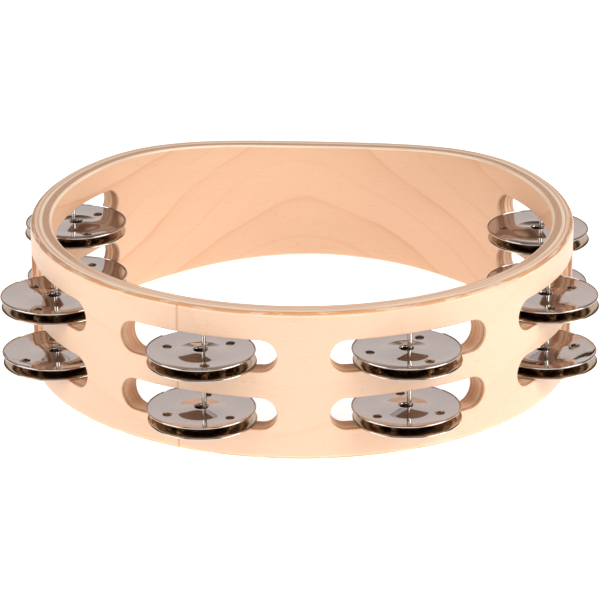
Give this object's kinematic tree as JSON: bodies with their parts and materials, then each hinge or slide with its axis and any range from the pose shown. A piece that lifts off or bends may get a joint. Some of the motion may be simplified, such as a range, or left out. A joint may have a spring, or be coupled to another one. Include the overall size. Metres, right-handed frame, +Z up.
{
  "type": "tambourine",
  "caption": "Headless wooden tambourine: a bent plywood hoop with a cut-back grip and two rows of slots, each holding a loose pair of facing metal discs on a long pin.",
  "frame": {"origin": "middle of the bottom of the whole instrument's box, on the plane that the bottom rim stands on", "axes": "+X to the right along the widest extent over the jingles, +Y towards the grip, +Z up along the hoop's axis"},
  "size_m": [0.2768, 0.2652, 0.0696],
  "materials": {
    "maple_plywood": "clear satin lacquer over maple veneer, bare ply edges",
    "pin_steel": "bright drawn wire",
    "nickel_plate": "polished nickel plate"
  },
  "bodies": {
    "hoop_with_pins": {"hoop": "maple_plywood", "pin_front_left": "pin_steel", "pin_front_right": "pin_steel", "pin_side_left": "pin_steel", "pin_side_right": "pin_steel", "pin_back_left": "pin_steel", "pin_back_right": "pin_steel"},
    "jingle_front_left_lower_top": {"jingle_front_left_lower_top": "nickel_plate"},
    "jingle_front_left_lower_bottom": {"jingle_front_left_lower_bottom": "nickel_plate"},
    "jingle_front_left_upper_top": {"jingle_front_left_upper_top": "nickel_plate"},
    "jingle_front_left_upper_bottom": {"jingle_front_left_upper_bottom": "nickel_plate"},
    "jingle_front_right_lower_top": {"jingle_front_right_lower_top": "nickel_plate"},
    "jingle_front_right_lower_bottom": {"jingle_front_right_lower_bottom": "nickel_plate"},
    "jingle_front_right_upper_top": {"jingle_front_right_upper_top": "nickel_plate"},
    "jingle_front_right_upper_bottom": {"jingle_front_right_upper_bottom": "nickel_plate"},
    "jingle_side_left_lower_top": {"jingle_side_left_lower_top": "nickel_plate"},
    "jingle_side_left_lower_bottom": {"jingle_side_left_lower_bottom": "nickel_plate"},
    "jingle_side_left_upper_top": {"jingle_side_left_upper_top": "nickel_plate"},
    "jingle_side_left_upper_bottom": {"jingle_side_left_upper_bottom": "nickel_plate"},
    "jingle_side_right_lower_top": {"jingle_side_right_lower_top": "nickel_plate"},
    "jingle_side_right_lower_bottom": {"jingle_side_right_lower_bottom": "nickel_plate"},
    "jingle_side_right_upper_top": {"jingle_side_right_upper_top": "nickel_plate"},
    "jingle_side_right_upper_bottom": {"jingle_side_right_upper_bottom": "nickel_plate"},
    "jingle_back_left_lower_top": {"jingle_back_left_lower_top": "nickel_plate"},
    "jingle_back_left_lower_bottom": {"jingle_back_left_lower_bottom": "nickel_plate"},
    "jingle_back_left_upper_top": {"jingle_back_left_upper_top": "nickel_plate"},
    "jingle_back_left_upper_bottom": {"jingle_back_left_upper_bottom": "nickel_plate"},
    "jingle_back_right_lower_top": {"jingle_back_right_lower_top": "nickel_plate"},
    "jingle_back_right_lower_bottom": {"jingle_back_right_lower_bottom": "nickel_plate"},
    "jingle_back_right_upper_top": {"jingle_back_right_upper_top": "nickel_plate"},
    "jingle_back_right_upper_bottom": {"jingle_back_right_upper_bottom": "nickel_plate"}
  },
  "joints": [
    {"name": "slide_front_left_lower", "type": "slide", "parent": "hoop_with_pins", "child": "jingle_front_left_lower_top", "axis": [0, 0, 1], "range_m": [0, 0.0084]},
    {"name": "spin_front_left_lower", "type": "hinge", "parent": "hoop_with_pins", "child": "jingle_front_left_lower_bottom", "pos_m": [-0.04439, -0.10821, 0.0143], "axis": [0, 0, 1], "continuous": true},
    {"name": "slide_front_left_upper", "type": "slide", "parent": "hoop_with_pins", "child": "jingle_front_left_upper_top", "axis": [0, 0, 1], "range_m": [0, 0.0084]},
    {"name": "spin_front_left_upper", "type": "hinge", "parent": "hoop_with_pins", "child": "jingle_front_left_upper_bottom", "pos_m": [-0.04439, -0.10821, 0.0416], "axis": [0, 0, 1], "continuous": true},
    {"name": "slide_front_right_lower", "type": "slide", "parent": "hoop_with_pins", "child": "jingle_front_right_lower_top", "axis": [0, 0, 1], "range_m": [0, 0.0084]},
    {"name": "spin_front_right_lower", "type": "hinge", "parent": "hoop_with_pins", "child": "jingle_front_right_lower_bottom", "pos_m": [0.04618, -0.10686, 0.0143], "axis": [0, 0, 1], "continuous": true},
    {"name": "slide_front_right_upper", "type": "slide", "parent": "hoop_with_pins", "child": "jingle_front_right_upper_top", "axis": [0, 0, 1], "range_m": [0, 0.0084]},
    {"name": "spin_front_right_upper", "type": "hinge", "parent": "hoop_with_pins", "child": "jingle_front_right_upper_bottom", "pos_m": [0.04618, -0.10686, 0.0416], "axis": [0, 0, 1], "continuous": true},
    {"name": "slide_side_left_lower", "type": "slide", "parent": "hoop_with_pins", "child": "jingle_side_left_lower_top", "axis": [0, 0, 1], "range_m": [0, 0.0084]},
    {"name": "spin_side_left_lower", "type": "hinge", "parent": "hoop_with_pins", "child": "jingle_side_left_lower_bottom", "pos_m": [-0.11363, -0.04152, 0.0143], "axis": [0, 0, 1], "continuous": true},
    {"name": "slide_side_left_upper", "type": "slide", "parent": "hoop_with_pins", "child": "jingle_side_left_upper_top", "axis": [0, 0, 1], "range_m": [0, 0.0084]},
    {"name": "spin_side_left_upper", "type": "hinge", "parent": "hoop_with_pins", "child": "jingle_side_left_upper_bottom", "pos_m": [-0.11363, -0.04152, 0.0416], "axis": [0, 0, 1], "continuous": true},
    {"name": "slide_side_right_lower", "type": "slide", "parent": "hoop_with_pins", "child": "jingle_side_right_lower_top", "axis": [0, 0, 1], "range_m": [0, 0.0084]},
    {"name": "spin_side_right_lower", "type": "hinge", "parent": "hoop_with_pins", "child": "jingle_side_right_lower_bottom", "pos_m": [0.11162, -0.04108, 0.0143], "axis": [0, 0, 1], "continuous": true},
    {"name": "slide_side_right_upper", "type": "slide", "parent": "hoop_with_pins", "child": "jingle_side_right_upper_top", "axis": [0, 0, 1], "range_m": [0, 0.0084]},
    {"name": "spin_side_right_upper", "type": "hinge", "parent": "hoop_with_pins", "child": "jingle_side_right_upper_bottom", "pos_m": [0.11162, -0.04108, 0.0416], "axis": [0, 0, 1], "continuous": true},
    {"name": "slide_back_left_lower", "type": "slide", "parent": "hoop_with_pins", "child": "jingle_back_left_lower_top", "axis": [0, 0, 1], "range_m": [0, 0.0084]},
    {"name": "spin_back_left_lower", "type": "hinge", "parent": "hoop_with_pins", "child": "jingle_back_left_lower_bottom", "pos_m": [-0.11031, 0.05601, 0.0143], "axis": [0, 0, 1], "continuous": true},
    {"name": "slide_back_left_upper", "type": "slide", "parent": "hoop_with_pins", "child": "jingle_back_left_upper_top", "axis": [0, 0, 1], "range_m": [0, 0.0084]},
    {"name": "spin_back_left_upper", "type": "hinge", "parent": "hoop_with_pins", "child": "jingle_back_left_upper_bottom", "pos_m": [-0.11031, 0.05601, 0.0416], "axis": [0, 0, 1], "continuous": true},
    {"name": "slide_back_right_lower", "type": "slide", "parent": "hoop_with_pins", "child": "jingle_back_right_lower_top", "axis": [0, 0, 1], "range_m": [0, 0.0084]},
    {"name": "spin_back_right_lower", "type": "hinge", "parent": "hoop_with_pins", "child": "jingle_back_right_lower_bottom", "pos_m": [0.11398, 0.04613, 0.0143], "axis": [0, 0, 1], "continuous": true},
    {"name": "slide_back_right_upper", "type": "slide", "parent": "hoop_with_pins", "child": "jingle_back_right_upper_top", "axis": [0, 0, 1], "range_m": [0, 0.0084]},
    {"name": "spin_back_right_upper", "type": "hinge", "parent": "hoop_with_pins", "child": "jingle_back_right_upper_bottom", "pos_m": [0.11398, 0.04613, 0.0416], "axis": [0, 0, 1], "continuous": true}
  ]
}
